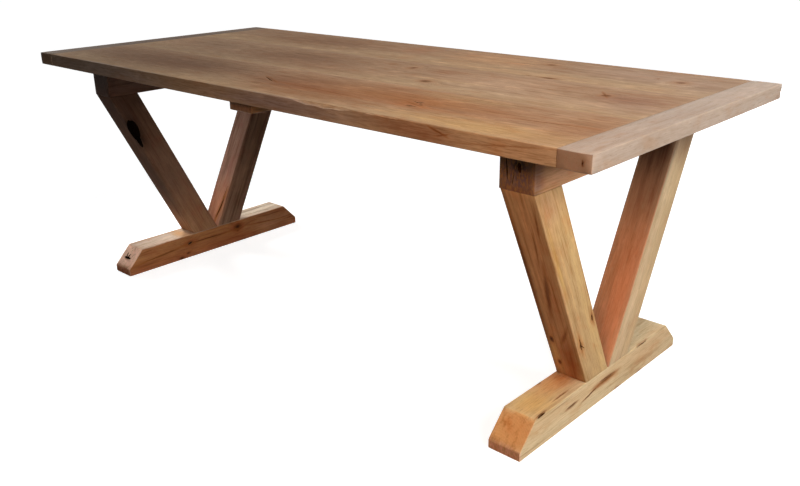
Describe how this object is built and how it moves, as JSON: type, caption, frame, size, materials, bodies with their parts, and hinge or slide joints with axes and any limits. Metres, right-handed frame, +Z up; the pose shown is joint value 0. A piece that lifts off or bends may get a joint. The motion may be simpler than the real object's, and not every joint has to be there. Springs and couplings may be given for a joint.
{
  "type": "dining table",
  "caption": "Rustic hardwood dining table: a thick plank top with breadboard ends, carried on two V-shaped trestles with chamfered feet.",
  "frame": {"origin": "on the floor, under the middle of the top", "axes": "+X along the top's length, +Y towards its back edge, +Z up"},
  "size_m": [2.1, 0.91, 0.765],
  "materials": {
    "board_wood": "planed hardwood under a thin satin oil",
    "breadboard_wood": "paler planed hardwood under a thin satin oil",
    "trestle_wood": "planed golden hardwood with gum veins and knots, satin oil",
    "joint_wood": "bare planed hardwood",
    "zinc_steel": "bright zinc plate"
  },
  "bodies": {
    "root": {"top_board_1": "board_wood", "top_board_2": "board_wood", "top_board_3": "board_wood", "board_spline_1": "joint_wood", "board_spline_2": "joint_wood", "breadboard_left": "breadboard_wood", "breadboard_right": "breadboard_wood", "breadboard_peg_left_1": "joint_wood", "breadboard_peg_left_2": "joint_wood", "breadboard_peg_left_3": "joint_wood", "breadboard_peg_right_1": "joint_wood", "breadboard_peg_right_2": "joint_wood", "breadboard_peg_right_3": "joint_wood", "centre_batten": "joint_wood", "batten_screw_1": "zinc_steel", "batten_screw_2": "zinc_steel", "batten_screw_3": "zinc_steel", "batten_screw_4": "zinc_steel", "batten_screw_5": "zinc_steel", "batten_screw_6": "zinc_steel", "trestle_left_rail": "trestle_wood", "trestle_left_leg_front": "trestle_wood", "trestle_left_leg_back": "trestle_wood", "trestle_left_foot": "trestle_wood", "trestle_left_tenon_front_rail": "joint_wood", "trestle_left_tenon_front_foot": "joint_wood", "trestle_left_tenon_back_rail": "joint_wood", "trestle_left_tenon_back_foot": "joint_wood", "trestle_left_bolt_1": "zinc_steel", "trestle_left_bolt_2": "zinc_steel", "trestle_left_bolt_3": "zinc_steel", "trestle_left_washer_1": "zinc_steel", "trestle_left_washer_2": "zinc_steel", "trestle_left_washer_3": "zinc_steel", "trestle_right_rail": "trestle_wood", "trestle_right_leg_front": "trestle_wood", "trestle_right_leg_back": "trestle_wood", "trestle_right_foot": "trestle_wood", "trestle_right_tenon_front_rail": "joint_wood", "trestle_right_tenon_front_foot": "joint_wood", "trestle_right_tenon_back_rail": "joint_wood", "trestle_right_tenon_back_foot": "joint_wood", "trestle_right_bolt_1": "zinc_steel", "trestle_right_bolt_2": "zinc_steel", "trestle_right_bolt_3": "zinc_steel", "trestle_right_washer_1": "zinc_steel", "trestle_right_washer_2": "zinc_steel", "trestle_right_washer_3": "zinc_steel"}
  },
  "joints": []
}
